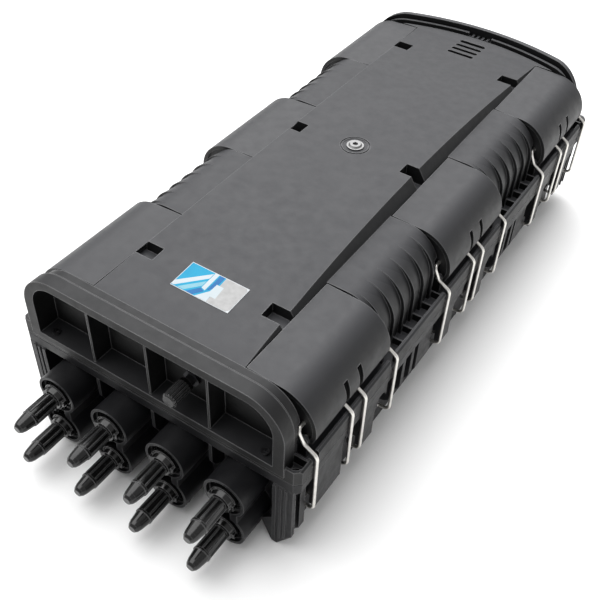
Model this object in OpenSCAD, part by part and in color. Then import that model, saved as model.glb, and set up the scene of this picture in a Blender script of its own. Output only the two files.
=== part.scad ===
// Flat fibre splice closure: two bolted-together looking shells held by six over-centre wire
// latches, with eight plugged cable ports at one end. Millimetres, Z up, the base on z = 0,
// +Y away from the ports. Row frame: the bounding box centre in X and Y is at 0, 0.

/* [Shells] */
// Width across the two flanges
flange_w = 230.8; // [206:0.2:260]
// How far the flanges stand ahead of the first latch
front_reach = 22; // [20:0.5:26]
// How far the flanges run past the last latch at their corners
rear_reach = 17.5; // [15:0.5:22]
// Radius of the bowed rear end
bow_r = 229; // [200:1:300]
// How far the bow stands past the flange corners at its middle
bow_rise = 9; // [6:0.5:12]
// Height of the parting plane between the two shells
split_z = 74.6; // [68:0.2:82]
// Thickness of the base flange
base_flange_t = 8.8; // [7:0.2:11]
// Thickness of the cover flange under its pocket
cover_flange_t = 5.4; // [4.6:0.2:7]
// Height of the cover flange's edge rim above its pocket
rim_h = 8; // [6:0.2:9]
// Width of that edge rim
rim_t = 3; // [2.4:0.2:3.6]
// Wall thickness of both shells
wall = 3.2; // [2.8:0.1:4]
// Depth from the flange edge in to the tub's side wall
tub_inset = 12.9; // [12:0.1:14]

/* [Lid] */
// Height of the latch backs and of the flat lid beside them
lid_z = 130; // [122:0.5:140]
// Rise of the arched lid panel at mid length
crown = 9; // [6:0.5:12]
// Half width of the lid panel at its foot
panel_w = 60.6; // [54:0.2:66]
// Slope of the panel's sides from the vertical
panel_slope = 33; // [20:1:42]
// Depth from the flange edge in to the crests of the ribbed shoulders
shoulder_in = 10.4; // [9.4:0.1:11.9]
// Radius of the ribbed shoulders
shoulder_r = 28; // [24:0.5:32]
// Pitch of the shoulder ribs along the body
rib_pitch = 14.3; // [12:0.1:16]
// Depth of one shoulder rib
rib_depth = 3; // [1.5:0.25:3.5]
// Depth of the finger notches into the panel, from its top edge
notch_d = 10.2; // [8:0.2:14]
// Length of a finger notch along the body
notch_l = 12.6; // [9:0.2:16]
// Gap between a lever and the lid panel
joint_gap = 0.7; // [0.3:0.1:1.2]

/* [Hood] */
// Height of the hood ring's top above the ground
hood_z = 138.4; // [132:0.2:146]
// Radius of the hood ring's upper corners
hood_r = 29; // [24:0.5:34]
// Width of the ring's front face
hood_t = 7.6; // [6:0.2:9]
// Height of the hood's floor above the ground
hood_floor_z = 84.4; // [82:0.2:88]
// Thickness of the three dividers in the hood
divider_t = 1.8; // [1.2:0.1:3]

/* [Latches] */
// Length of a latch lever along the body
lever_len = 89.9; // [84:0.1:96]
// Free length between two levers on one side
lever_gap = 88.15; // [82:0.05:94]
// Thickness of a lever's skin
lever_t = 3; // [2.4:0.1:3.6]
// Depth from the flange edge in to the side of a lever
lever_in = 2.9; // [1.4:0.1:4.4]
// Radius of a lever's shoulder
lever_r = 28; // [24:0.5:30]
// Fall of a lever's back towards its shoulder
lever_fall = 1; // [0:0.1:2]
// Depth from the flange edge in to the lever's hinge line
hinge_in = 10.4; // [9.4:0.1:11.4]
// Height of the lever's hinge line
hinge_z = 94.5; // [93:0.1:96]
// Depth from the flange edge in to the bail's pivot line
pivot_in = 13.1; // [12.4:0.1:13.9]
// Height of the bail's pivot line
pivot_z = 105.3; // [104:0.1:107]
// Thickness of the bail wire
wire_d = 2.5; // [2:0.1:3]
// Width of a bail between its two legs
bail_w = 41.6; // [36:0.1:44]
// How far the outer leg stands clear of the lever's end
bail_out = 4.8; // [4.6:0.1:5.4]
// How far out of the flange edge the middle of the bail's upright legs stands
leg_out = 1.5; // [1.3:0.1:3.6]
// Height of the bail's crossbar, in the middle of the wire
bar_z = 33; // [28:0.5:38]
// Depth from the flange edge in to the crossbar
bar_in = 8.9; // [8.2:0.1:9.4]
// Thickness of the hinge pins
pin_d = 2.5; // [2:0.1:3]

/* [Ports] */
// Pitch of the four port columns
port_pitch = 47.94; // [44:0.1:52]
// Height of the upper row of ports
port_up_z = 50.8; // [48:0.2:54]
// Height of the lower row of ports
port_low_z = 18; // [16.5:0.5:20]
// Outer diameter of a port tube
port_d = 31.6; // [29:0.2:33]
// Diameter of a port's bore
port_bore = 25.2; // [22:0.2:26]
// How far the port mouths stand ahead of the flange
port_reach = 18.3; // [14:0.1:24]
// How far a plug's tip stands ahead of its port mouth
plug_reach = 36.1; // [30:0.1:42]
// Diameter of a plug's fluted shank
plug_d = 12; // [10:0.2:15]

/* [Inside] */
// Number of splice trays in the stack
trays = 4; // [2:1:4]
// Height of one splice tray
tray_h = 12; // [9:0.5:14]
// Width of a splice tray
tray_w = 150; // [120:2:160]
// Length of a splice tray
tray_l = 280; // [220:5:300]

/* [Hidden] */
$fn = 96;
W = flange_w / 2;
shoulder_x = W - shoulder_in;
lever_x = W - lever_in;
hinge_x = W - hinge_in;
pivot_x = W - pivot_in;
leg_x = W + leg_out;
bar_x = W - bar_in;
pitch_y = lever_len + lever_gap;
lever_end = 2 * pitch_y + lever_len;
mid_y = lever_end / 2;
front_y = -front_reach;
rear_y = lever_end + rear_reach;
bow_y = rear_y + bow_rise - bow_r;
rim_bow = bow_r + 1;
mouth_y = front_y - port_reach;
tip_y = mouth_y - plug_reach;
y_shift = -(tip_y + bow_y + rim_bow) / 2;
flange_bot = split_z - base_flange_t;
pocket_z = split_z + cover_flange_t;
rim_z = pocket_z + rim_h;
low_z = lid_z - 5;
body_x = W - 19.4;
body_r = 20;
roof_z = low_z - wall;
tub_x = W - tub_inset;
tub_front = front_y + tub_inset;
in_inset = tub_inset + wall;
gasket_w = 3;
gasket_in = in_inset - gasket_w - 1.6;
hood_front = front_y - 1;
hood_back = front_y + in_inset - 0.1;
zone_gap = 1;
leg_gap = 5.4;
pocket_x = hinge_x - 5.5;
yaw = atan(rib_depth / rib_pitch);
rib_0 = lever_len + 4.5;
ribs = 6;
hole_x = W - 6;
hole_f = front_y + 6;
hole_b = rear_y - 6;
pad_rim = 1.9;
hood_screw_x = shoulder_x - 17.75;
hood_screw_y = front_y + 5;
hole_d = 7;
wire_r = wire_d / 2;
pin_r = pin_d / 2;
run = 0.06;
lap = 0.02;
knee_x = hinge_x + 2;
knee_z = hinge_z + 0.5;
kink_z = rim_z + 0.8;
foot_r = 4.6;
bar_bend = 3;
leg_a = -bail_out;
leg_b = leg_a + bail_w;
leg_d = lever_len + bail_out;
leg_c = leg_d - bail_w;
end_in = 1.5;
end_t = 2.8;
plate_t = 2.8;
plate_b = leg_b - wire_r - 4.6;
plate_c = leg_c + wire_r + 1.8;
slot_w = wire_d + 2.1;
slot_z = lid_z - 16;
lug_r = pin_r + 2;
lug_gap = 0.6;
lug_t = bail_out - wire_r - 2 * lug_gap;
catch_x = W - 0.4;
catch_z = bar_z - wire_r + 1.8 + wire_d;
catch_bot = bar_z - 5.6;
valve_x = port_pitch / 2;
valve_z = hood_floor_z + 17.6;
screw_y = mid_y + 4;
label_y = 40;
label_l = 24.3;
label_w = 46.5;
vent_x = -3;
vent_w = 4.6;
frame_z = 8;
stack_z = frame_z + 14;
tray_p = tray_h + 1;
foot_x = tray_w / 2 - 15;
foot_y = tray_l / 2 - 30;
bracket_w = 3 * port_pitch + 32.2;
bracket_y = front_y + 36;
bolt_x = bracket_w / 2 - 10;
grey = [0.36, 0.37, 0.38];
dark = [0.10, 0.10, 0.11];
black = [0.04, 0.04, 0.045];
steel = [0.74, 0.73, 0.70];

// ---- helpers ---------------------------------------------------------------------------
module row() {
  translate([0, y_shift, 0]) children();
}

module along_y(y0, y1) {
  translate([0, y1, 0]) rotate([90, 0, 0]) linear_extrude(height = y1 - y0) children();
}

module both() {
  children();
  mirror([1, 0, 0]) children();
}

// section of a shell or ring across the body: flat top, rounded shoulders, straight sides
module dome(w, top, r, bottom) {
  translate([-(w - r), bottom]) square([2 * (w - r), top - bottom]);
  translate([-w, bottom]) square([2 * w, top - r - bottom]);
  translate([w - r, top - r]) circle(r);
  translate([-(w - r), top - r]) circle(r);
}

// outline of the flanges seen from above, drawn in by i, with cut corners and the bowed rear
module plan(i, c) {
  x = W - i;
  ya = front_y + i;
  yb = rear_y - i;
  bow_x = W * 0.54;
  polygon([
    [-x + c, ya], [x - c, ya], [x, ya + c], [x, yb - c],
    [x - c, yb], [-x + c, yb], [-x, yb - c], [-x, ya + c]
  ]);
  intersection() {
    translate([0, bow_y]) circle(bow_r - i, $fn = 256);
    translate([-bow_x, yb - 30]) square([2 * bow_x, 60]);
  }
}

module disc(r, h) {
  translate([0, bow_y, pocket_z]) cylinder(r = r, h = h, $fn = 256);
}

// height of the arched panel over the ground at y
function arch(y) = max(lid_z, lid_z + crown - crown * pow((y - mid_y) / mid_y, 2));

// ---- cover -----------------------------------------------------------------------------
arch_y = [
  for (t = [0, 0.058, 0.121, 0.18, 0.24, 0.3, 0.36, 0.42, 0.48, 0.54, 0.6, 0.66, 0.72, 0.78,
    0.84, 0.9, 0.942]) t * lever_end
];

module panel() {
  ys = concat([-1], arch_y, [lever_end, rear_y + 20]);
  top = lid_z + crown + 1;
  in = (top - lid_z) * tan(panel_slope);
  intersection() {
    rotate([90, 0, 90]) translate([0, 0, -W]) linear_extrude(height = 2 * W) polygon(
      concat([[rear_y + 20, low_z - 2], [-1, low_z - 2]], [for (y = ys) [y, arch(y)]])
    );
    along_y(-2, rear_y + 20) polygon([
      [-panel_w, low_z - 3], [panel_w, low_z - 3], [panel_w, lid_z],
      [panel_w - in, top], [in - panel_w, top], [-panel_w, lid_z]
    ]);
    union() {
      translate([0, 0, -10]) disc(bow_r - 11.5, lid_z);
      translate([-W, -3, 0]) cube([2 * W, mid_y, 2 * lid_z]);
    }
  }
}

module shoulder(top_x) {
  translate([0, pocket_z - 1]) square([shoulder_x - shoulder_r, lid_z - pocket_z + 1]);
  translate([0, pocket_z - 1]) square([shoulder_x, lid_z - shoulder_r - pocket_z + 1]);
  intersection() {
    translate([shoulder_x - shoulder_r, lid_z - shoulder_r]) circle(shoulder_r);
    translate([top_x, pocket_z]) square([W, lid_z]);
  }
}

module rib_zone(y) {
  y1 = y + lever_len + zone_gap;
  y2 = y + pitch_y - zone_gap;
  translate([0, 0, 0]) along_y(y1, y2) dome(pocket_x, lid_z, shoulder_r - 5, pocket_z - 1);
  both() for (k = [0 : ribs - 1]) {
    ya = y + rib_0 + k * rib_pitch;
    yb = min(ya + rib_pitch, y2);
    intersection() {
      translate([40, ya, pocket_z - 1]) cube([W, yb - ya, lid_z]);
      translate([shoulder_x, ya, 0]) rotate([0, 0, yaw]) translate([-shoulder_x, 0, 0])
        along_y(-8, rib_pitch + 6) shoulder(20);
    }
  }
}

module rim() {
  linear_extrude(height = rim_h + 1) difference() {
    plan(0, 4);
    plan(rim_t, 4);
    translate([-bow_r, front_y + 12]) square([1, 1]);
  }
}

module rear_ring() {
  z0 = pocket_z - 1;
  y0 = lever_end + 1.2;
  intersection() {
    along_y(y0, rear_y + 20) dome(shoulder_x - 3, lid_z - 3, shoulder_r - 3, z0);
    translate([0, 0, -10]) disc(rim_bow - 1, 100);
  }
  difference() {
    intersection() {
      along_y(y0, rear_y + 20) dome(shoulder_x, lid_z + 6, hood_r, z0);
      translate([0, 0, -10]) disc(rim_bow, 100);
    }
    translate([0, 0, -20]) disc(rim_bow - 4.5, 120);
  }
  difference() {
    intersection() {
      along_y(y0, rear_y + 20) dome(shoulder_x - 1.5, lid_z + 2.2, shoulder_r - 1, z0);
      translate([0, 0, -10]) disc(rim_bow - 7.2, 100);
    }
    translate([0, 0, -20]) disc(rim_bow - 9.6, 120);
    translate([vent_x - 11.5, y0, z0]) cube([23, 60, 100]);
  }
  intersection() {
    along_y(y0, rear_y + 20) dome(shoulder_x - 1, lid_z, shoulder_r, z0);
    translate([0, 0, -10]) disc(rim_bow - 12.5, 100);
  }
  for (k = [-1.5 : 1 : 1.5]) translate([vent_x + k * 5 - 1, bow_y + rim_bow - 10, lid_z - 6])
    cube([2, 5, 5.4]);
}

module hood() {
  z0 = pocket_z - 1;
  along_y(hood_front, hood_front + 10.6) dome(shoulder_x, hood_z, hood_r, z0);
  along_y(hood_front + 10, hood_front + 12) dome(shoulder_x - 1, hood_z - 1, hood_r - 1, z0);
  along_y(hood_front + 11.4, -4) dome(shoulder_x - 1.5, hood_z - 3.4, hood_r - 2, z0);
}

module hood_room() {
  z0 = hood_floor_z;
  x = shoulder_x - hood_t - 0.8;
  difference() {
    intersection() {
      along_y(hood_front - 1, hood_back) dome(x, hood_z - hood_t + 0.9, hood_r - 9, z0 - 50);
      translate([-W, hood_front - 1, z0]) cube([2 * W, 60, 100]);
    }
    for (x = [-port_pitch, 0, port_pitch]) translate([x - divider_t / 2, hood_front + 1.5, 0])
      cube([divider_t, 60, 200]);
  }
}

// room inside the thin rim of the corner pads
module pad_room() {
  translate([0, 0, pocket_z]) linear_extrude(height = 20) intersection() {
    plan(pad_rim, 4);
    both() {
      translate([W - 12, front_y]) square([12, 12]);
      translate([W - 12, rear_y - 11.4]) square([12, 12]);
    }
  }
}

module wire_room(y) {
  both() translate([hinge_x - 5.5, y, pocket_z]) cube([W, leg_gap + 2, 32]);
}

module lug(y) {
  translate([hinge_x, y, hinge_z]) rotate([-90, 0, 0]) difference() {
    union() {
      cylinder(r = lug_r, h = lug_t);
      translate([-lug_r, 0, 0]) cube([2 * lug_r, hinge_z - pocket_z + 0.5, lug_t]);
    }
    translate([0, 0, -1]) cylinder(r = pin_r, h = lug_t + 2);
  }
}

module cover_outer() {
  // the flange, with a shadow groove along the parting line
  translate([0, 0, split_z]) linear_extrude(height = 1) plan(0.8, 4);
  translate([0, 0, split_z + 0.7]) linear_extrude(height = cover_flange_t - 0.7) plan(0, 4);
  difference() {
    translate([0, 0, pocket_z - 1]) rim();
    pad_room();
    // open the rim between the two corner pads, where the hood and the rear ring stand
    translate([-W + 12, front_y - 1, pocket_z]) cube([2 * W - 24, 12, 20]);
    translate([-W + 12, rear_y - 6, pocket_z]) cube([2 * W - 24, 30, 20]);
    both() rotate([90, 0, 0]) translate([W, rim_z, -600]) rotate([0, 0, 45])
      translate([-1.1, -1.1, 0]) cube([2.2, 2.2, 1200]);
  }
  hood();
  along_y(-5, lever_end + 6) dome(body_x, low_z, body_r, pocket_z - 1);
  panel();
  rear_ring();
  for (n = [0, 1]) rib_zone(n * pitch_y);
}

module cover_cuts() {
  room_x = panel_w - notch_d - 9;
  // room over the trays
  intersection() {
    along_y(-wall + 1.4, rear_y + 20) dome(body_x - wall, roof_z, body_r - wall, split_z - 2);
    translate([0, 0, split_z - 1]) linear_extrude(height = 100) plan(in_inset, 4);
  }
  for (n = [0, 1]) along_y(n * pitch_y + lever_len + 8, (n + 1) * pitch_y - 8)
    dome(shoulder_x - rib_depth - 3.6, roof_z, shoulder_r - 7, split_z - 1);
  translate([-room_x, 18, roof_z - 1]) cube([2 * room_x, mid_y - 36, 5.4]);
  translate([-room_x, mid_y + 20, roof_z - 1]) cube([2 * room_x, mid_y - 60, 5.4]);
  hood_room();
  for (n = [0 : 2]) {
    y = n * pitch_y;
    // finger notches at each lever's middle
    both() translate([panel_w - 5.8 - notch_d, y + lever_len / 2 - notch_l / 2, low_z])
      cube([notch_d + 8, notch_l, 30]);
    // room for the wires and the hinge lugs at each lever's ends
    wire_room(y - leg_gap - 1.8);
    wire_room(y + lever_len - 0.2);
  }
  // recess of the lid screw, and the hole of its shank
  translate([0, screw_y, arch(mid_y) - 0.6]) cylinder(d = 20, h = 10);
  translate([0, screw_y, arch(mid_y) - 1]) difference() {
    cylinder(d = 23.6, h = 10);
    translate([0, 0, -1]) cylinder(d = 21.6, h = 12);
  }
  translate([0, screw_y, roof_z - 30]) cylinder(d = 5.2, h = 60);
  // rear row of slots
  for (k = [0 : 3]) translate([vent_x, lever_end - 25 + 9.1 * k, lid_z - 3.4]) {
    translate([-10.4, -vent_w / 2, 0]) cube([20.8, vent_w, 12]);
    for (s = [-1, 1]) translate([s * 10.4, 0, 0]) cylinder(d = vent_w, h = 12, $fn = 32);
  }
  // corner holes
  for (y = [hole_f, hole_b]) both() translate([hole_x, y, 0]) cylinder(d = hole_d, h = 200);
  // valve and screw holes in the hood
  translate([valve_x, -20, valve_z]) rotate([-90, 0, 0]) cylinder(d = 6, h = 25);
  both() translate([hood_screw_x, hood_screw_y, hood_floor_z - 8]) cylinder(d = 3, h = 20);
}

module cover_shell() {
  color(grey) row() {
    difference() {
      cover_outer();
      cover_cuts();
    }
    for (n = [0 : 2]) both() {
      lug_y(n * pitch_y);
    }
    // ladder of small ribs in the flange pocket
    for (n = [0, 1]) both() for (k = [1 : ribs - 1])
      translate([shoulder_x - 5, n * pitch_y + rib_0 + k * rib_pitch + 3.1, pocket_z - 0.5])
        cube([W - rim_t - shoulder_x + 5.5, 1.2, rim_h - 1.5]);
    // walls behind the corner pads
    both() {
      translate([shoulder_x - 2, front_y + 12, pocket_z - 0.5]) cube([W - shoulder_x, 1.6, rim_h]);
      translate([shoulder_x - 8, rear_y - 13, pocket_z - 0.5]) cube([W - shoulder_x + 6, 1.6, rim_h]);
    }
  }
}

module lug_y(y) {
  lug(y - lug_gap - lug_t);
  lug(y + lever_len + lug_gap);
}

// ---- base ------------------------------------------------------------------------------
module catch(y, open) {
  // the skin that the crossbar hooks behind, and the ledge above the bar
  difference() {
    translate([tub_x - 1, y + 5.7, catch_bot]) cube([catch_x - tub_x + 1, 31, flange_bot - catch_bot + 1]);
    translate([bar_x - 3, y, catch_bot - 1]) cube([6.6, 60, catch_z - catch_bot + 1]);
    if (open) {
      translate([bar_x + 3.5, y + 21.2, catch_bot - 1]) cube([20, 20, flange_bot - 12 - catch_bot]);
      translate([bar_x + 3.5, y + 29, flange_bot - 13]) rotate([0, 90, 0]) cylinder(r = 7.8, h = 20);
    }
  }
}

module fin(y, t, x, z, r) {
  along_y(y, y + t) {
    translate([tub_x - 1, z + r]) square([x - tub_x + 1, flange_bot - z - r + 1]);
    translate([tub_x - 1, z]) square([x - r - tub_x + 1, r + 1]);
    translate([x - r, z + r]) circle(r);
  }
}

module port_pair(x) {
  translate([x, 0, 0]) along_y(mouth_y, tub_front + 1) {
    translate([0, port_up_z]) circle(d = port_d);
    translate([0, port_low_z]) circle(d = port_d);
    translate([-10, port_low_z]) square([20, port_up_z - port_low_z]);
  }
}

module port_room(x) {
  for (z = [port_low_z, port_up_z]) translate([x, 0, z]) rotate([-90, 0, 0]) {
    translate([0, 0, mouth_y - 1]) cylinder(d = port_bore, h = 80);
    translate([0, 0, mouth_y - 1]) cylinder(d = port_bore + 2.4, h = 4);
  }
  translate([x - 4.5, mouth_y - 1, port_low_z + 8]) cube([9, 11, port_up_z - port_low_z - 16]);
}

module post() {
  x0 = tub_x - 5.5;
  x1 = W - 3.6;
  along_y(front_y, tub_front + 2) polygon([
    [x0, 0], [x0 + 3.5, 0], [x1, 17], [x1, flange_bot + 1], [x0, flange_bot + 1]
  ]);
  translate([x0, front_y - 1, 2]) cube([2.8, 2, flange_bot - 2]);
  for (x = [x0 + 5, x0 + 8.6]) translate([x, front_y - 1, x - x0 + 4]) cube([2, 2, flange_bot - x + x0 - 4]);
  along_y(front_y + 0.5, front_y + 3.5) polygon([
    [x0 + 0.5, 28], [x0 - 9.6, 18.3], [x0 - 1.5, 0], [x0 + 0.5, 0]
  ]);
}

module web(x) {
  translate([x - 1.25, 0, 0]) rotate([90, 0, 90]) linear_extrude(height = 2.5) polygon([
    [front_y, flange_bot + 1], [front_y, flange_bot - 16], [front_y + 3, flange_bot - 22],
    [tub_front + 1, flange_bot - 30], [tub_front + 1, flange_bot + 1]
  ]);
}

module base_outer() {
  difference() {
    translate([0, 0, flange_bot]) linear_extrude(height = base_flange_t) plan(0, 4);
    both() rotate([90, 0, 0]) translate([W, flange_bot, -600]) rotate([0, 0, 45])
      translate([-1.2, -1.2, 0]) cube([2.4, 2.4, 1200]);
    translate([-W, front_y, flange_bot]) rotate([45, 0, 0]) translate([-1, -1.2, -1.2])
      cube([2 * W + 2, 2.4, 2.4]);
  }
  linear_extrude(height = flange_bot + 1) plan(tub_inset, 6);
  for (n = [0 : 2]) both() {
    catch(n * pitch_y + leg_a, n > 0);
    catch(n * pitch_y + leg_c, true);
  }
  for (n = [0, 1]) both() {
    for (k = [0 : 2]) fin(n * pitch_y + lever_len + 13 + 13.4 * k, 4, W - 1.9, 29, 8);
    fin(n * pitch_y + lever_len + 55, 22, W - 3.6, 21, 9);
  }
  for (x = [-1.5, -0.5, 0.5, 1.5]) port_pair(x * port_pitch);
  for (x = [-1, 0, 1]) web(x * port_pitch);
  both() {
    post();
    // rear corner posts
    translate([tub_x - 6, rear_y - 13 - 2, 14]) cube([3, 9, flange_bot - 13]);
    translate([tub_x - 6, rear_y - 10, 14]) cube([W - tub_x + 2, 8, flange_bot - 13]);
  }
}

module base_cuts() {
  difference() {
    translate([0, 0, wall]) linear_extrude(height = 100) plan(in_inset, 4);
    // bosses for the tray frame
    for (x = [-foot_x, foot_x]) for (y = [mid_y - foot_y, mid_y + foot_y]) translate([x, y, 0])
      cylinder(d = 12, h = frame_z);
    // bosses for the cable bracket
    for (x = [-bolt_x, bolt_x]) translate([x, bracket_y + 8, 0]) cylinder(d = 10, h = 12);
  }
  for (x = [-1.5, -0.5, 0.5, 1.5]) port_room(x * port_pitch);
  for (y = [hole_f, hole_b]) both() translate([hole_x, y, -1]) cylinder(d = hole_d, h = 200);
  // groove of the gasket
  translate([0, 0, split_z - 3]) linear_extrude(height = 10) difference() {
    plan(gasket_in - 0.1, 4);
    plan(gasket_in + gasket_w + 0.1, 4);
  }
}

module base_shell() {
  color(dark) row() difference() {
    base_outer();
    base_cuts();
  }
}

module gasket() {
  color(black) row() translate([0, 0, split_z - 3]) linear_extrude(height = 3) difference() {
    plan(gasket_in, 4);
    plan(gasket_in + gasket_w, 4);
  }
}

// ---- latches ---------------------------------------------------------------------------
module lever_skin(t) {
  cx = lever_x - lever_r;
  cz = lid_z - lever_fall - lever_r;
  polygon([
    [panel_w + joint_gap - (t > 0 ? 1 : 0), lid_z - t], [cx, lid_z - lever_fall - t], [cx, cz],
    [lever_x - t, cz], [lever_x - t, cz - 3], [hinge_x + 5 - t, hinge_z - 3 - (t > 0 ? 1 : 0)],
    [panel_w + joint_gap - (t > 0 ? 1 : 0), hinge_z - 3 - (t > 0 ? 1 : 0)]
  ]);
  intersection() {
    translate([cx, cz]) circle(lever_r - t);
    translate([cx, cz]) square([60, 60]);
  }
}

module lever_plate() {
  difference() {
    intersection() {
      lever_skin(lever_t - 0.5);
      translate([panel_w + joint_gap + 1.5, hinge_z - 3]) square([60, 60]);
    }
    dome(body_x + 2, low_z + 2, body_r + 2, 0);
  }
  translate([hinge_x, hinge_z]) circle(r = pin_r + 2.6);
}

module lever(side, n) {
  y = n * pitch_y;
  e = end_in;
  color(grey) row() mirror([side, 0, 0]) difference() {
    union() {
      along_y(y, y + lever_len) difference() {
        lever_skin(0);
        lever_skin(lever_t);
      }
      along_y(y + e, y + e + end_t) lever_plate();
      along_y(y + lever_len - e - end_t, y + lever_len - e) lever_plate();
      along_y(y + plate_b, y + plate_b + plate_t) lever_plate();
      along_y(y + plate_c, y + plate_c + plate_t) lever_plate();
    }
    // slots in the side that let the two inner wire legs through
    for (l = [leg_b, leg_c]) translate([hinge_x - 4, y + l - slot_w / 2, 0])
      cube([30, slot_w, slot_z]);
    // bearings of the lever's pins and of the bail wires
    translate([hinge_x, y - 1, hinge_z]) rotate([-90, 0, 0]) cylinder(r = pin_r + run, h = 7);
    translate([hinge_x, y + lever_len - 6, hinge_z]) rotate([-90, 0, 0]) cylinder(r = pin_r + run, h = 7);
    translate([pivot_x, y - 1, pivot_z]) rotate([-90, 0, 0]) cylinder(r = wire_r + run, h = lever_len + 2);
  }
}

// a straight wire in the section plane from a point, along the angle a from +X to +Z; it runs
// a hair into the bends at both its ends, which are a hair thicker
module wire(x, z, a, l) {
  translate([x, 0, z]) rotate([0, 90 - a, 0]) translate([0, 0, -lap])
    cylinder(r = wire_r, h = l + 2 * lap, $fn = 32);
}

module elbow(r, a) {
  rotate_extrude(angle = a) translate([r, 0]) circle(r = wire_r + lap, $fn = 32);
}

// a bend of the wire at the corner x, z, turning from the angle a to the angle b
module bend(x, z, a, b, r) {
  s = b > a ? 1 : -1;
  t = r * tan(abs(b - a) / 2);
  ox = x - t * cos(a) - s * r * sin(a);
  oz = z - t * sin(a) + s * r * cos(a);
  translate([ox, 0, oz]) rotate([90, 0, 0]) rotate([0, 0, s > 0 ? a - 90 : b + 90])
    elbow(r, abs(b - a));
}

function reach(r, a, b) = r * tan(abs(b - a) / 2);
function span(x0, z0, x1, z1) = sqrt(pow(x1 - x0, 2) + pow(z1 - z0, 2));

// half of a bail: the stub in the lever, the cranked leg and the foot
module bail_half(stub) {
  a1 = atan2(knee_z - pivot_z, knee_x - pivot_x);
  a2 = atan2(kink_z - knee_z, leg_x - knee_x);
  rk = 5;
  rp = 3;
  t1 = reach(rk, a1, a2);
  t2 = reach(rk, a2, -90);
  translate([pivot_x, rp - lap, pivot_z]) rotate([-90, 0, 0])
    cylinder(r = wire_r, h = stub - rp + lap, $fn = 32);
  translate([pivot_x, 0, pivot_z]) rotate([0, -a1, 0]) translate([rp, rp, 0]) rotate([0, 0, 180])
    elbow(rp, 90);
  wire(pivot_x + rp * cos(a1), pivot_z + rp * sin(a1), a1,
    span(pivot_x, pivot_z, knee_x, knee_z) - rp - t1);
  bend(knee_x, knee_z, a1, a2, rk);
  wire(knee_x + t1 * cos(a2), knee_z + t1 * sin(a2), a2,
    span(knee_x, knee_z, leg_x, kink_z) - t1 - t2);
  bend(leg_x, kink_z, a2, -90, rk);
  wire(leg_x, kink_z - t2, -90, kink_z - t2 - bar_z - foot_r);
  bend(leg_x, bar_z, -90, -180, foot_r);
  wire(leg_x - foot_r, bar_z, 180, leg_x - foot_r - bar_x - bar_bend);
  translate([bar_x + bar_bend, bar_bend, bar_z]) rotate([0, 0, 180]) elbow(bar_bend, 90);
}

module bail(side, n, first) {
  y = n * pitch_y + (first ? leg_a : leg_c);
  e = end_in + end_t;
  la = first ? bail_out + e + 0.8 : plate_c + plate_t - leg_c + 0.8;
  lb = first ? leg_b - plate_b + 0.8 : bail_out + e + 0.8;
  color(steel) row() mirror([side, 0, 0]) translate([0, y, 0]) {
    bail_half(la);
    translate([0, bail_w, 0]) mirror([0, 1, 0]) bail_half(lb);
    // the crossbar that hooks behind the catch
    translate([bar_x, bar_bend - lap, bar_z]) rotate([-90, 0, 0])
      cylinder(r = wire_r, h = bail_w - 2 * bar_bend + 2 * lap, $fn = 32);
  }
}

module hinge_pins() {
  h = lug_t + lug_gap + end_in + end_t;
  color(steel) row() both() for (n = [0 : 2]) {
    translate([hinge_x, n * pitch_y - lug_gap - lug_t, hinge_z]) rotate([-90, 0, 0])
      cylinder(r = pin_r, h = h);
    translate([hinge_x, n * pitch_y + lever_len - end_in - end_t, hinge_z]) rotate([-90, 0, 0])
      cylinder(r = pin_r, h = h);
  }
}

// ---- ports, valve and screws -----------------------------------------------------------
// drawn along +Z with the tip up, then laid along -Y
module plug(x, z) {
  l = plug_reach;
  r = plug_d / 2;
  color(black) row() translate([x, mouth_y, z]) rotate([90, 0, 0]) difference() {
    union() {
      translate([0, 0, -24]) cylinder(d = port_bore - 0.1, h = 19);
      translate([0, 0, -6]) cylinder(d = port_bore - 5.4, h = 6.5);
      translate([0, 0, 0]) cylinder(r1 = r + 2.6, r2 = r + 1.8, h = 4.4);
      translate([0, 0, 4]) cylinder(r1 = r - 0.6, r2 = r, h = l - 16.5);
      translate([0, 0, l - 13]) cylinder(r = r + 0.5, h = 1.6);
      translate([0, 0, l - 11.6]) cylinder(r1 = r, r2 = r - 1.1, h = 7.4);
      translate([0, 0, l - 4.3]) cylinder(r1 = r - 1.1, r2 = r - 1.9, h = 2.6);
      translate([0, 0, l - 1.8]) cylinder(r1 = r - 1.9, r2 = r - 3.2, h = 1.8);
      for (k = [0 : 7]) rotate([0, 0, 45 * k]) translate([r - 1, -0.5, 5]) cube([1.5, 1, l - 18.5]);
      for (k = [0 : 1]) rotate([0, 0, 180 * k]) translate([r + 0.5, -2.2, 0]) cube([3.4, 4.4, 3.2]);
    }
    translate([0, 0, -16]) difference() {
      cylinder(d = port_bore + 4, h = 3);
      cylinder(d = port_bore - 3.6, h = 3);
    }
    translate([0, 0, -25]) cylinder(d = port_bore - 8, h = 16);
  }
}

module plug_seals() {
  color([0.5, 0.14, 0.1]) row() for (x = [-1.5, -0.5, 0.5, 1.5]) for (z = [port_low_z, port_up_z])
    translate([x * port_pitch, mouth_y + 13.1, z]) rotate([-90, 0, 0]) difference() {
      cylinder(d = port_bore, h = 2.8);
      translate([0, 0, -1]) cylinder(d = port_bore - 3.5, h = 5);
    }
}

module valve_body() {
  y = hood_back;
  color([0.30, 0.30, 0.31]) row() translate([valve_x, y, valve_z]) rotate([90, 0, 0]) {
    translate([0, 0, -6]) cylinder(d = 5.9, h = 7);
    cylinder(d = 13, h = 2, $fn = 6);
    translate([0, 0, 1.9]) cylinder(d = 7.2, h = 4);
    translate([0, 0, 5.8]) cylinder(d = 5.6, h = 14);
  }
}

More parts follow.
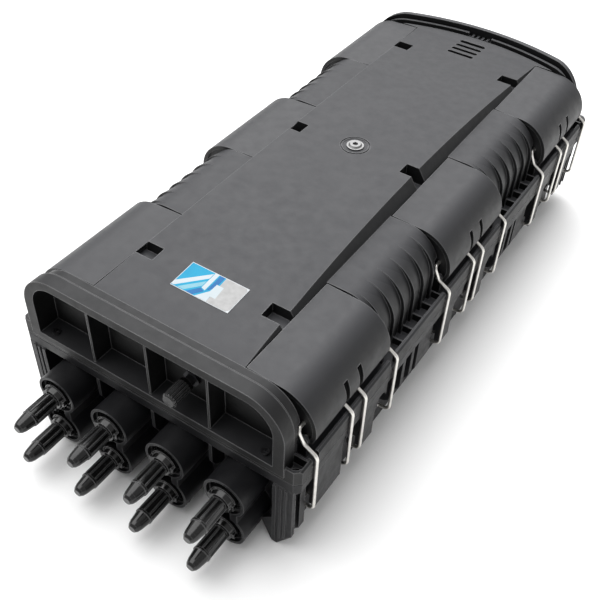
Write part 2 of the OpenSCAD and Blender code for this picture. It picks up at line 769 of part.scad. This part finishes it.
module valve_cap() {
  y = hood_back - 6.4;
  color(black) row() translate([valve_x, y, valve_z]) rotate([90, 0, 0]) difference() {
    union() {
      cylinder(d = 10, h = 17.6);
      translate([0, 0, 17.6]) cylinder(r1 = 5, r2 = 4.2, h = 0.8);
      for (k = [0 : 15]) rotate([0, 0, 22.5 * k]) translate([4.6, -0.5, 3]) cube([0.9, 1, 14]);
    }
    translate([0, 0, -1]) cylinder(d = 5.72, h = 15.6);
  }
}

module lid_screw() {
  z = arch(mid_y) - 0.6;
  color(steel) row() translate([0, screw_y, z]) difference() {
    union() {
      cylinder(d = 13.5, h = 1);
      translate([0, 0, 0.9]) cylinder(r1 = 5.4, r2 = 4.2, h = 1.3);
      translate([0, 0, -14]) cylinder(d = 5.1, h = 14.5);
    }
    translate([0, 0, 0.6]) cylinder(d = 4.6, h = 3, $fn = 6);
  }
}

module hood_screws() {
  color(steel) row() both() translate([hood_screw_x, hood_screw_y, hood_floor_z]) difference() {
    union() {
      cylinder(d = 5.6, h = 1.8);
      translate([0, 0, -7.5]) cylinder(d = 2.9, h = 8);
    }
    for (a = [0, 90]) rotate([0, 0, a]) translate([-1.6, -0.35, 0.9]) cube([3.2, 0.7, 2]);
  }
}

module label() {
  ya = arch_y[1];
  yb = arch_y[2];
  a = atan2(arch(yb) - arch(ya), yb - ya);
  z = arch(ya) + (label_y - ya) * tan(a) + 0.03;
  color([0.15, 0.55, 0.85]) row() translate([3, label_y, z]) rotate([a, 0, 0])
    translate([-label_w / 2, -label_l / 2, 0]) cube([label_w, label_l, 0.3]);
}

// ---- inside ----------------------------------------------------------------------------
module tray_frame() {
  color(steel) row() translate([0, mid_y, frame_z]) {
    difference() {
      translate([-tray_w / 2 - 3, -tray_l / 2, 0]) cube([tray_w + 6, tray_l, 2]);
      for (x = [-foot_x, foot_x]) for (y = [-foot_y, foot_y]) translate([x, y, -1]) cylinder(d = 4.2, h = 5);
      translate([20 - foot_x, 20 - foot_y, -1]) cube([2 * foot_x - 40, 2 * foot_y - 40, 5]);
    }
    for (s = [0, 1]) mirror([s, 0, 0]) translate([tray_w / 2 + 1, -tray_l / 2, 0])
      cube([2, tray_l, 16]);
    for (y = [-tray_l / 2 + 4, tray_l / 2 - 16]) for (s = [0, 1]) mirror([s, 0, 0])
      translate([foot_x - 30, y, 1]) cube([30, 12, stack_z - frame_z - 1]);
  }
}

module tray(k) {
  color([0.86, 0.86, 0.84]) row() translate([-tray_w / 2, mid_y - tray_l / 2, stack_z + (k - 1) * tray_p]) {
    difference() {
      cube([tray_w, tray_l, tray_h]);
      translate([2, 2, 2]) cube([tray_w - 4, tray_l - 4, tray_h]);
      for (x = [14, tray_w - 26]) translate([x, -1, 4]) cube([12, 4, tray_h]);
    }
    // splice holder comb and the two winding drums
    for (i = [0 : 6]) translate([tray_w / 2 - 31 + 10 * i, tray_l / 2 - 20, 1]) cube([2, 40, 6]);
    for (y = [70, tray_l - 70]) translate([tray_w / 2, y, 1]) difference() {
      cylinder(r = 33, h = tray_h - 3, $fn = 64);
      translate([0, 0, -1]) cylinder(r = 31, h = tray_h + 2, $fn = 64);
    }
    if (k < trays) for (x = [8, tray_w - 14]) translate([x, 8, 1]) cube([6, 6, tray_p - 1]);
  }
}

module tray_lid() {
  z = stack_z + (trays - 1) * tray_p + tray_h;
  color([0.8, 0.85, 0.88]) row() translate([-tray_w / 2, mid_y - tray_l / 2, z]) cube([tray_w, tray_l, 1.6]);
}

module tray_strap() {
  z = stack_z + (trays - 1) * tray_p + tray_h + 1.6;
  color(black) row() translate([0, mid_y - 10, 0]) {
    translate([-tray_w / 2 - 5, 0, z]) cube([tray_w + 10, 20, 1.2]);
    both() translate([tray_w / 2 + 3.2, 0, frame_z + 4]) cube([1.2, 20, z + 0.6 - frame_z - 4]);
  }
}

module cable_bracket() {
  color(steel) row() difference() {
    union() {
      translate([-bracket_w / 2, bracket_y, 12]) cube([bracket_w, 16, 2]);
      translate([-bracket_w / 2, bracket_y + 14, 12]) cube([bracket_w, 2, 30]);
      for (x = [-1.5, -0.5, 0.5, 1.5]) translate([x * port_pitch - 9, bracket_y + 14, 40]) cube([18, 2, 24]);
    }
    for (x = [-bolt_x, bolt_x]) translate([x, bracket_y + 8, 0]) cylinder(d = 4.2, h = 20);
  }
}

module cable_ties() {
  color(black) row() for (x = [-1.5, -0.5, 0.5, 1.5]) translate([x * port_pitch, bracket_y + 12.6, 52])
    difference() {
    translate([-10.4, 0, 0]) cube([20.8, 4.8, 4.6]);
    translate([-9.1, 1.3, -1]) cube([18.2, 2.2, 8]);
  }
}

module bracket_screws() {
  color(steel) row() {
    for (x = [-bolt_x, bolt_x]) translate([x, bracket_y + 8, 14]) {
      cylinder(d = 8, h = 2.4);
      translate([0, 0, -3.9]) cylinder(d = 4, h = 4);
    }
    for (x = [-foot_x, foot_x]) for (y = [mid_y - foot_y, mid_y + foot_y]) translate([x, y, frame_z + 2]) {
      cylinder(d = 8, h = 2.4);
      translate([0, 0, -1.9]) cylinder(d = 4, h = 2);
    }
  }
}

base_shell();
cover_shell();
gasket();
lever(0, 0);  // lever_r1
lever(0, 1);  // lever_r2
lever(0, 2);  // lever_r3
lever(1, 0);  // lever_l1
lever(1, 1);  // lever_l2
lever(1, 2);  // lever_l3
bail(0, 0, true);  // bail_r1a
bail(0, 0, false);  // bail_r1b
bail(0, 1, true);  // bail_r2a
bail(0, 1, false);  // bail_r2b
bail(0, 2, true);  // bail_r3a
bail(0, 2, false);  // bail_r3b
bail(1, 0, true);  // bail_l1a
bail(1, 0, false);  // bail_l1b
bail(1, 1, true);  // bail_l2a
bail(1, 1, false);  // bail_l2b
bail(1, 2, true);  // bail_l3a
bail(1, 2, false);  // bail_l3b
hinge_pins();
plug(-1.5 * port_pitch, port_up_z);  // plug_1u
plug(-0.5 * port_pitch, port_up_z);  // plug_2u
plug(0.5 * port_pitch, port_up_z);  // plug_3u
plug(1.5 * port_pitch, port_up_z);  // plug_4u
plug(-1.5 * port_pitch, port_low_z);  // plug_1l
plug(-0.5 * port_pitch, port_low_z);  // plug_2l
plug(0.5 * port_pitch, port_low_z);  // plug_3l
plug(1.5 * port_pitch, port_low_z);  // plug_4l
plug_seals();
valve_body();
valve_cap();
lid_screw();
hood_screws();
label();
tray_frame();
tray(1);  // tray_1
tray(2);  // tray_2
tray(3);  // tray_3
tray(4);  // tray_4
tray_lid();
tray_strap();
cable_bracket();
cable_ties();
bracket_screws();
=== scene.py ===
# %% [markdown]
# Fibre splice closure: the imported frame, its finishes, the label's print, a pale studio.

# %% frame
import bpy
import bmesh
import math
from mathutils import Matrix, Vector


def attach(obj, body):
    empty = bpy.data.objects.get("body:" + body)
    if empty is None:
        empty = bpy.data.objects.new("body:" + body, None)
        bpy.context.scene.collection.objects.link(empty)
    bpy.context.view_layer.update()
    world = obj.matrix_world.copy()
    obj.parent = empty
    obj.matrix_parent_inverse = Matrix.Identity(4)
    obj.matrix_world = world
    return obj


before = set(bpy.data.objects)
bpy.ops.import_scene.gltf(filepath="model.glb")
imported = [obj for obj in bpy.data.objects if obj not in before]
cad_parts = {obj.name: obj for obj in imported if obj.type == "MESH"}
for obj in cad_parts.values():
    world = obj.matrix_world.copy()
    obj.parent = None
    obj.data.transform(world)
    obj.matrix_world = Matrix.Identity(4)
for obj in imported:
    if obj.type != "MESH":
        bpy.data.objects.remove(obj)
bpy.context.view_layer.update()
scene = bpy.context.scene

# %% [markdown]
# The camera: a 52 mm lens above the corner where the ports and the right-hand latches meet.

# %% camera
TURN = math.radians(31.68)
RISE = math.radians(44.08)
ROLL = math.radians(2.70)
CAM_AT = Vector((0.2664, -0.47385, 0.5190))
LENS_MM = 52.03
SENSOR_MM = 36.0

cam = bpy.data.cameras.new("camera")
cam.lens = LENS_MM
cam.sensor_width = SENSOR_MM
cam.clip_start = 0.02
cam.clip_end = 30.0
cam_obj = bpy.data.objects.new("camera", cam)
scene.collection.objects.link(cam_obj)
scene.camera = cam_obj
back = Vector((math.sin(TURN) * math.cos(RISE), -math.cos(TURN) * math.cos(RISE), math.sin(RISE)))
level_right = Vector((math.cos(TURN), math.sin(TURN), 0.0))
level_up = back.cross(level_right)
right = level_right * math.cos(ROLL) + level_up * math.sin(ROLL)
up = level_up * math.cos(ROLL) - level_right * math.sin(ROLL)
basis = Matrix((right, up, back)).transposed().to_4x4()
cam_obj.matrix_world = Matrix.Translation(CAM_AT) @ basis

# %% [markdown]
# Node helpers. Colours are linear; lengths in the trees are metres.

# %% node helpers


def grey(v):
    return (v, v, v)


def new_material(name):
    m = bpy.data.materials.new(name)
    m.use_nodes = True
    nt = m.node_tree
    nt.nodes.clear()
    out = nt.nodes.new("ShaderNodeOutputMaterial")
    sh = nt.nodes.new("ShaderNodeBsdfPrincipled")
    nt.links.new(sh.outputs["BSDF"], out.inputs["Surface"])
    return m, nt, sh


def noise(nt, scale, detail, rough, stretch=None):
    coords = nt.nodes.new("ShaderNodeTexCoord").outputs["Object"]
    n = nt.nodes.new("ShaderNodeTexNoise")
    n.inputs["Scale"].default_value = scale
    n.inputs["Detail"].default_value = detail
    n.inputs["Roughness"].default_value = rough
    if stretch:
        mapping = nt.nodes.new("ShaderNodeMapping")
        mapping.inputs["Scale"].default_value = stretch
        nt.links.new(coords, mapping.inputs["Vector"])
        coords = mapping.outputs["Vector"]
    nt.links.new(coords, n.inputs["Vector"])
    return n.outputs[0]


def ramp(nt, src, stops):
    # a colour ramp with one stop for each (position, colour)
    r = nt.nodes.new("ShaderNodeValToRGB")
    elements = r.color_ramp.elements
    elements[0].position, elements[1].position = stops[0][0], stops[-1][0]
    elements[0].color, elements[1].color = (*stops[0][1], 1.0), (*stops[-1][1], 1.0)
    for at, color in stops[1:-1]:
        elements.new(at).color = (*color, 1.0)
    nt.links.new(src, r.inputs["Fac"])
    return r.outputs["Color"]


def blend(nt, kind, a, b, factor=1.0):
    # b is another socket or a fixed colour; factor is a socket or a number
    mix = nt.nodes.new("ShaderNodeMix")
    mix.data_type = "RGBA"
    mix.blend_type = kind
    for value, socket in ((factor, mix.inputs["Factor"]), (a, mix.inputs[6]), (b, mix.inputs[7])):
        if isinstance(value, bpy.types.NodeSocket):
            nt.links.new(value, socket)
        else:
            socket.default_value = value
    return mix.outputs[2]


def axis_of(nt, vector, axis):
    sep = nt.nodes.new("ShaderNodeSeparateXYZ")
    nt.links.new(vector, sep.inputs["Vector"])
    return sep.outputs[axis]


def step(nt, src, start, end, low=0.0):
    # runs from low to 1 between start and end
    f = nt.nodes.new("ShaderNodeMapRange")
    f.inputs["From Min"].default_value = start
    f.inputs["From Max"].default_value = end
    f.inputs["To Min"].default_value = low
    nt.links.new(src, f.inputs["Value"])
    return f.outputs["Result"]


def grain_bump(nt, height, strength, depth, under=None):
    bump = nt.nodes.new("ShaderNodeBump")
    bump.inputs["Strength"].default_value = strength
    bump.inputs["Distance"].default_value = depth
    nt.links.new(height, bump.inputs["Height"])
    if under:
        nt.links.new(under, bump.inputs["Normal"])
    return bump.outputs["Normal"]


def rounded(nt, radius, samples):
    bevel = nt.nodes.new("ShaderNodeBevel")
    bevel.samples = samples
    bevel.inputs["Radius"].default_value = radius
    return bevel.outputs["Normal"]


# %% [markdown]
# The moulded plastic: mottled, with a fine grain, painted light on what faces up and painted shade on
# upright faces, painted highlights on edges that are also polished glossier and, on the cover, painted
# shade on the hood at the front.

# %% moulded plastic
EDGE = 0.0006          # how far an edge is softened
HIGHLIGHT_AND_RUB_REACH = 1.8        # the width of the band of painted highlight and polish, in softened edges
RUB_GLOSS = 0.45       # a rubbed edge's roughness against the face's
HOOD_DEPTH = 0.01935   # the hood ring, back from the front of the cover
HOOD_BLEND = 0.0008
# how dark the painted shade on the hood ring is
HOOD_PAINTED_SHADE = 0.34
front_y = min(v.co.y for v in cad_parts["cover_shell"].data.vertices)


def painted_top_light(nt, color, side):
    # painted light and shade: faces that look up are painted paler, while upright and hanging faces are
    # painted near black, as light from above falls on them
    up_facing = axis_of(nt, nt.nodes.new("ShaderNodeNewGeometry").outputs["Normal"], "Z")
    shade = ramp(nt, up_facing, [(0.0, grey(side)), (0.45, grey(side * 1.25)),
                                 (0.78, grey(side + (1.0 - side) * 0.42)), (0.97, grey(1.0))])
    return blend(nt, "MULTIPLY", color, shade)


def paint_hood_shade(nt, color):
    # painted shade: the hood's ring at the front is painted darker than the lid, standing in for the shade
    # on its rounded band
    y = axis_of(nt, nt.nodes.new("ShaderNodeTexCoord").outputs["Object"], "Y")
    hood_end = front_y + HOOD_DEPTH
    return blend(nt, "MULTIPLY", color, step(nt, y, hood_end - HOOD_BLEND, hood_end, HOOD_PAINTED_SHADE))


def edge_highlight_and_polish(nt, sh, color, rough, highlight_gain):
    # painted highlight: a wide bevel's normal leaves the face's own near an edge; there the colour is
    # painted paler, and the grain is polished a little glossier
    dot = nt.nodes.new("ShaderNodeVectorMath")
    dot.operation = "DOT_PRODUCT"
    nt.links.new(rounded(nt, EDGE * HIGHLIGHT_AND_RUB_REACH, 6), dot.inputs[0])
    nt.links.new(nt.nodes.new("ShaderNodeNewGeometry").outputs["True Normal"], dot.inputs[1])
    highlight_and_polish_band = step(nt, dot.outputs["Value"], 0.995, 0.86)
    painted_highlight = blend(nt, "SCREEN", color, (highlight_gain, highlight_gain, highlight_gain * 1.02, 1.0), highlight_and_polish_band)
    glossy = (RUB_GLOSS, RUB_GLOSS, RUB_GLOSS * 1.02, 1.0)
    nt.links.new(painted_highlight, sh.inputs["Base Color"])
    nt.links.new(blend(nt, "MULTIPLY", rough, glossy, highlight_and_polish_band), sh.inputs["Roughness"])


def moulded(name, dark, light, rough, grain=900.0, bump=0.05, spec=0.5, side=None, painted_edge_gain=0.0, hood=False):
    m, nt, sh = new_material(name)
    color = ramp(nt, noise(nt, 14.0, 3.0, 0.6), [(0.32, dark), (0.68, light)])
    # painted light on faces that look up, painted shade on upright ones
    if side is not None:
        color = painted_top_light(nt, color, side)
    # painted shade on the cover's hood ring
    if hood:
        color = paint_hood_shade(nt, color)
    gloss = ramp(nt, noise(nt, 126.0, 5.0, 0.6), [(0.35, grey(rough[0])), (0.7, grey(rough[1]))])
    nt.links.new(color, sh.inputs["Base Color"])
    nt.links.new(gloss, sh.inputs["Roughness"])
    # painted highlight on edges, which are also made glossier
    if painted_edge_gain > 0.0:
        edge_highlight_and_polish(nt, sh, color, gloss, painted_edge_gain)
    normal = grain_bump(nt, noise(nt, grain, 2.0, 0.6), bump, 0.0004, rounded(nt, EDGE, 4))
    nt.links.new(normal, sh.inputs["Normal"])
    sh.inputs["Specular IOR Level"].default_value = spec
    return m


# %% [markdown]
# Metals, and the films of the label and its inks.

# %% metal and film


def metal(name, color, rough, streak=(1.0, 1.0, 1.0)):
    m, nt, sh = new_material(name)
    sh.inputs["Metallic"].default_value = 1.0
    n = noise(nt, 260.0, 3.0, 0.6, streak)
    dull = tuple(c * 0.88 for c in color)
    nt.links.new(ramp(nt, n, [(0.35, dull), (0.65, color)]), sh.inputs["Base Color"])
    nt.links.new(ramp(nt, n, [(0.3, grey(rough[0])), (0.7, grey(rough[1]))]), sh.inputs["Roughness"])
    nt.links.new(grain_bump(nt, n, 0.08, 0.0002), sh.inputs["Normal"])
    return m


def film(name, dark, light, rough, scale=60.0):
    m, nt, sh = new_material(name)
    n = noise(nt, scale, 3.0, 0.5)
    nt.links.new(ramp(nt, n, [(0.3, dark), (0.7, light)]), sh.inputs["Base Color"])
    sh.inputs["Roughness"].default_value = rough
    sh.inputs["Specular IOR Level"].default_value = 0.25
    return m


# %% [markdown]
# One finish for each kind of piece, set on every node of the frame.

# %% finishes
LID_DARK, LID_LIGHT = (0.040, 0.0405, 0.0445), (0.045, 0.0455, 0.0495)
# side, hood and the edge gain set painted light and shade: shaded upright faces, a shaded hood ring and
# painted edge highlights
COVER = moulded("cover_plastic", LID_DARK, LID_LIGHT, (0.46, 0.58),
                side=0.10, spec=0.32, painted_edge_gain=0.11, hood=True)
LEVER = moulded("lever_plastic", LID_DARK, LID_LIGHT, (0.42, 0.54), side=0.13, spec=0.36, painted_edge_gain=0.09)
BASE = moulded("base_plastic", (0.006, 0.006, 0.007), (0.010, 0.010, 0.011), (0.34, 0.48),
               spec=0.2, painted_edge_gain=0.06)
PORT = moulded("port_plastic", grey(0.003), grey(0.005), (0.10, 0.20), 500.0, 0.03, spec=0.45, painted_edge_gain=0.07)
RUBBER = moulded("gasket_rubber", grey(0.012), grey(0.018), (0.6, 0.75))
SEAL = moulded("seal_rubber", (0.25, 0.05, 0.03), (0.32, 0.07, 0.04), (0.4, 0.5))
STEEL = metal("stainless_steel", (0.78, 0.76, 0.72), (0.28, 0.40))
DARK_METAL = metal("dark_metal", (0.10, 0.10, 0.105), (0.3, 0.45))
SHEET = metal("sheet_steel", (0.62, 0.63, 0.64), (0.3, 0.5), (1.0, 12.0, 1.0))
TRAY = moulded("tray_plastic", (0.70, 0.70, 0.68), (0.78, 0.78, 0.76), (0.4, 0.5))
CLEAR = moulded("clear_plastic", (0.70, 0.74, 0.76), (0.78, 0.82, 0.84), (0.08, 0.14), 300.0, 0.01)
CLEAR.node_tree.nodes["Principled BSDF"].inputs["Alpha"].default_value = 0.5
STRAP = moulded("strap_plastic", grey(0.015), grey(0.03), (0.6, 0.8), 700.0, 0.3)
LABEL = film("label_film", (0.46, 0.48, 0.50), (0.54, 0.56, 0.58), 0.3)
ZINC = metal("zinc_screw", grey(0.26), (0.30, 0.42))

# the first start of a name that fits gives the finish; all other nodes are trays
FINISHES = {
    "cover_shell": COVER, "base_shell": BASE, "lever": LEVER, "bail": STEEL,
    "hinge_pins": STEEL, "bracket_screws": STEEL, "hood_screws": DARK_METAL, "lid_screw": ZINC,
    "plug_seals": SEAL, "plug": PORT, "valve_cap": PORT, "valve_body": DARK_METAL,
    "gasket": RUBBER, "label": LABEL, "tray_lid": CLEAR, "tray_frame": SHEET,
    "cable_bracket": SHEET, "tray_strap": STRAP, "cable_ties": STRAP,
}


def finish_of(node):
    for start, finish in FINISHES.items():
        if node.startswith(start):
            return finish
    return TRAY


for name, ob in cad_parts.items():
    ob.data.materials.clear()
    ob.data.materials.append(finish_of(name))

# %% [markdown]
# The label's print: plain slanted facets in blue and white, and a silver end, no words.

# %% label print
INK_GAP = 0.00001      # the ink's underside above the film
INK_THICK = 0.00006
INK_LAYER = 0.00002    # each later layer stands this much higher


def label_frame():
    # corner, long side, short side and normal of the label's upper face
    vs = [v.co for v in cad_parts["label"].data.vertices]
    x0, x1 = min(v.x for v in vs), max(v.x for v in vs)
    y0, y1 = min(v.y for v in vs), max(v.y for v in vs)
    front = max((v for v in vs if v.y < y0 + 0.0005), key=lambda v: v.z)
    rear = max((v for v in vs if v.y > y1 - 0.0005), key=lambda v: v.z)
    corner = Vector((x0, front.y, front.z))
    along = Vector((x1 - x0, 0.0, 0.0))
    across = Vector((0.0, rear.y - front.y, rear.z - front.z))
    return corner, along, across, along.cross(across).normalized()


def facet(name, outline, ink, layer):
    # the outline's points are shares of the label's long and short sides
    corner, along, across, normal = label_frame()
    flat = [corner + along * p[0] + across * p[1] for p in outline]
    bm = bmesh.new()
    top = [bm.verts.new(p + normal * (INK_THICK + layer * INK_LAYER)) for p in flat]
    low = [bm.verts.new(p + normal * INK_GAP) for p in flat]
    bm.faces.new(top)
    bm.faces.new(low[::-1])
    for i in range(len(flat)):
        bm.faces.new((low[i - 1], low[i], top[i], top[i - 1]))
    bmesh.ops.recalc_face_normals(bm, faces=bm.faces)
    me = bpy.data.meshes.new(name)
    bm.to_mesh(me)
    bm.free()
    me.materials.append(ink)
    ob = bpy.data.objects.new(name, me)
    scene.collection.objects.link(ob)
    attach(ob, "closure")


SKY = film("print_sky", (0.001, 0.24, 0.42), (0.002, 0.29, 0.48), 0.5)
DEEP = film("print_deep", (0.002, 0.10, 0.30), (0.003, 0.13, 0.34), 0.45)
PALE = film("print_pale", (0.16, 0.38, 0.47), (0.20, 0.42, 0.50), 0.45)
WHITE = film("print_white", (0.44, 0.50, 0.53), (0.48, 0.53, 0.56), 0.45)
SILVER = film("print_silver", grey(0.33), grey(0.40), 0.45, 240.0)
PRINT = {
    "label_sky_field": ([(0.01, 0.02), (0.66, 0.02), (0.60, 0.98), (0.01, 0.98)], SKY, 0),
    "label_white_band": ([(0.01, 0.04), (0.05, 0.04), (0.40, 0.74), (0.40, 0.94), (0.01, 0.20)], WHITE, 1),
    "label_pale_band": ([(0.11, 0.04), (0.22, 0.04), (0.40, 0.42), (0.40, 0.62)], PALE, 1),
    "label_deep_wedge": ([(0.26, 0.02), (0.38, 0.02), (0.48, 0.28), (0.40, 0.34)], DEEP, 1),
    "label_white_post": ([(0.41, 0.36), (0.48, 0.32), (0.48, 0.98), (0.41, 0.98)], WHITE, 1),
    "label_deep_bar": ([(0.50, 0.34), (0.58, 0.52), (0.58, 0.98), (0.50, 0.98)], DEEP, 1),
    "label_white_foot": ([(0.42, 0.02), (0.62, 0.02), (0.60, 0.50)], WHITE, 1),
    "label_silver_end": ([(0.62, 0.02), (0.95, 0.02), (0.99, 0.10), (0.99, 0.90), (0.95, 0.98),
                          (0.60, 0.98)], SILVER, 1),
    "label_white_panel": ([(0.55, 0.22), (0.70, 0.22), (0.68, 0.66), (0.56, 0.66)], WHITE, 2),
}
for piece, (outline, ink, layer) in PRINT.items():
    facet(piece, outline, ink, layer)

# %% [markdown]
# Studio: a pale floor that runs to the horizon, one large soft light overhead, weak fills.

# %% studio
FLOOR_HALF = 6.0
FLOOR_DROP = 0.0002    # the floor lies this much below the feet
FILL = 0.60


def floor():
    bm = bmesh.new()
    bmesh.ops.create_grid(bm, x_segments=2, y_segments=2, size=FLOOR_HALF)
    me = bpy.data.meshes.new("floor")
    bm.to_mesh(me)
    bm.free()
    ob = bpy.data.objects.new("floor", me)
    ob.location = (0.0, 0.0, -FLOOR_DROP)
    scene.collection.objects.link(ob)
    m, nt, sh = new_material("floor_paper")
    paper = ramp(nt, noise(nt, 3.0, 2.0, 0.5), [(0.3, grey(0.93)), (0.7, grey(0.95))])
    nt.links.new(paper, sh.inputs["Base Color"])
    sh.inputs["Roughness"].default_value = 0.9
    sh.inputs["Specular IOR Level"].default_value = 0.1
    me.materials.append(m)


def shine(name, light, towards, at=(0.0, 0.0, 0.0)):
    ob = bpy.data.objects.new(name, light)
    ob.location = at
    ob.rotation_euler = Vector(towards).to_track_quat("-Z", "Y").to_euler()
    scene.collection.objects.link(ob)


def softbox(name, at, aim, size, power):
    light = bpy.data.lights.new(name, "AREA")
    light.shape = "RECTANGLE"
    light.size, light.size_y = size
    light.energy = power
    shine(name, light, Vector(aim) - Vector(at), at)


def sky_light(name, come_from, strength, spread):
    light = bpy.data.lights.new(name, "SUN")
    light.energy = strength
    light.angle = math.radians(spread)
    shine(name, light, -Vector(come_from))


floor()
scene.world = bpy.data.worlds.new("studio")
scene.world.use_nodes = True
background = scene.world.node_tree.nodes["Background"]
background.inputs["Color"].default_value = (1.0, 1.0, 1.0, 1.0)
background.inputs["Strength"].default_value = FILL
sky_light("overhead", (-0.40, 0.05, 0.92), 3.0, 70.0)
softbox("back_softbox", (-0.55, 1.15, 1.25), (0.0, 0.0, 0.1), (1.5, 1.1), 12.0)
scene.view_settings.view_transform = "Standard"
scene.view_settings.look = "None"
scene.view_settings.exposure = 0.0
scene.view_settings.gamma = 1.0
